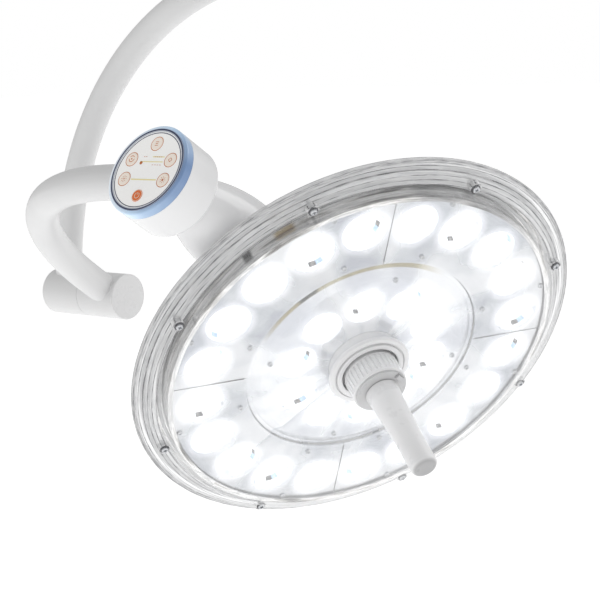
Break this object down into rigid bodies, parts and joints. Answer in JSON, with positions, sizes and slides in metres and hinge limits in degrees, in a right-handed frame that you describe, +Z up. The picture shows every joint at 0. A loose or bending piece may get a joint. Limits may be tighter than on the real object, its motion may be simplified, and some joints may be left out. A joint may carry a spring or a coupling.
{
  "type": "dental operating light",
  "caption": "Round LED dental operating light on a swivel arm and yoke, with a clear cover, touch pod and pull-off focus handle.",
  "frame": {"origin": "centre of the shoulder at the foot of the mounting spigot", "axes": "+Z up along the mounting spigot, +X from the arm hinge towards the lamp head, right-handed"},
  "size_m": [0.5892, 0.4719, 0.684],
  "materials": {
    "white_paint": "satin powder coat",
    "white_cap": "satin moulded",
    "white_plastic": "gloss moulded",
    "grey_plastic": "satin moulded",
    "handle_plastic": "satin moulded",
    "blue_plastic": "translucent",
    "navy_plastic": "gloss",
    "panel_film": "printed film",
    "key_peach": "printed film",
    "key_orange": "printed film",
    "steel": "turned",
    "bronze": "sintered",
    "cable_sheath": "matte",
    "circuit_board": "solder mask",
    "led_board": "white solder mask",
    "led_lens": "phosphor under a clear dome",
    "cast_aluminium": "cast and machined",
    "seal_rubber": "matte",
    "chrome": "polished",
    "reflector": "vacuum metallised",
    "clear_cover": "clear polycarbonate"
  },
  "bodies": {
    "root": {"mount_spigot": "steel", "swivel_upper_housing": "white_paint", "swivel_spindle": "steel", "swivel_nut": "steel"},
    "arm": {"swivel_lower_housing": "white_paint", "swivel_lower_cap": "white_cap", "swivel_bushes": "bronze", "arm_tube": "white_paint", "arm_cable": "cable_sheath", "hinge_outer_housing": "white_paint", "hinge_outer_cap": "white_cap", "hinge_spindle": "steel", "hinge_nut": "steel"},
    "yoke": {"hinge_inner_housing": "white_paint", "hinge_inner_cap": "white_cap", "hinge_bushes": "bronze", "yoke_tube": "white_paint", "yoke_cable": "cable_sheath", "pod_body": "white_plastic", "pod_ring": "blue_plastic", "panel_bezel": "navy_plastic", "touch_panel": "panel_film", "touch_keys": "key_peach", "power_key": "key_orange", "control_board": "circuit_board", "touch_springs": "steel", "pod_bearing": "bronze"},
    "lamp_head": {"rear_housing": "white_plastic", "service_cover": "white_plastic", "neck_shaft": "steel", "neck_nut": "steel", "head_frame": "cast_aluminium", "cover_gasket": "seal_rubber", "front_cover": "clear_cover", "cover_screws": "steel", "chrome_ring": "chrome", "heat_sink": "cast_aluminium", "outer_led_board": "led_board", "outer_leds": "led_lens", "reflector_segment_1": "reflector", "reflector_segment_2": "reflector", "reflector_segment_3": "reflector", "reflector_segment_4": "reflector", "inner_reflector": "reflector", "chassis_screws": "steel", "led_driver": "circuit_board", "head_cable": "cable_sheath", "hub_tube": "cast_aluminium", "hub_bushes": "bronze", "boss_flange": "white_plastic"},
    "focus_drive": {"focus_knob": "white_plastic", "knob_cap": "grey_plastic", "focus_sleeve": "cast_aluminium"},
    "led_carriage": {"focus_carriage": "cast_aluminium", "cam_follower": "steel", "inner_led_board": "led_board", "inner_leds": "led_lens"},
    "handle": {"handle_grip": "handle_plastic", "handle_insert": "steel"},
    "release": {"release_button": "grey_plastic"}
  },
  "joints": [
    {"name": "arm_swivel", "type": "hinge", "parent": "root", "child": "arm", "pos_m": [0, 0, -0.056], "axis": [0, 0, 1], "range_deg": [-160, 160]},
    {"name": "yoke_tilt", "type": "hinge", "parent": "arm", "child": "yoke", "pos_m": [-0.35, 0, -0.428], "axis": [1, 0, 0], "range_deg": [-122.65, 37.35]},
    {"name": "head_turn", "type": "hinge", "parent": "yoke", "child": "lamp_head", "pos_m": [0, 0, -0.428], "axis": [0, -0.8448, 0.5351], "range_deg": [-183.25, 86.75]},
    {"name": "focus_turn", "type": "hinge", "parent": "lamp_head", "child": "focus_drive", "pos_m": [0.06714, -0.03207, -0.47863], "axis": [0.7461, -0.3563, -0.5625], "range_deg": [0, 90]},
    {"name": "focus_slide", "type": "slide", "parent": "lamp_head", "child": "led_carriage", "axis": [0.7461, -0.3563, -0.5625], "range_m": [-0.00401, 0]},
    {"name": "handle_pull", "type": "slide", "parent": "focus_drive", "child": "handle", "axis": [0.7461, -0.3563, -0.5625], "range_m": [0, 0.046]},
    {"name": "button_press", "type": "slide", "parent": "focus_drive", "child": "release", "axis": [-0.7461, 0.3563, 0.5625], "range_m": [0, 0.002], "stiffness_N_per_m": 700, "springref_m": -0.002}
  ],
  "couplings": [
    {"joint": "focus_slide", "follows": "focus_turn", "m_per_rad": -0.0025465}
  ]
}
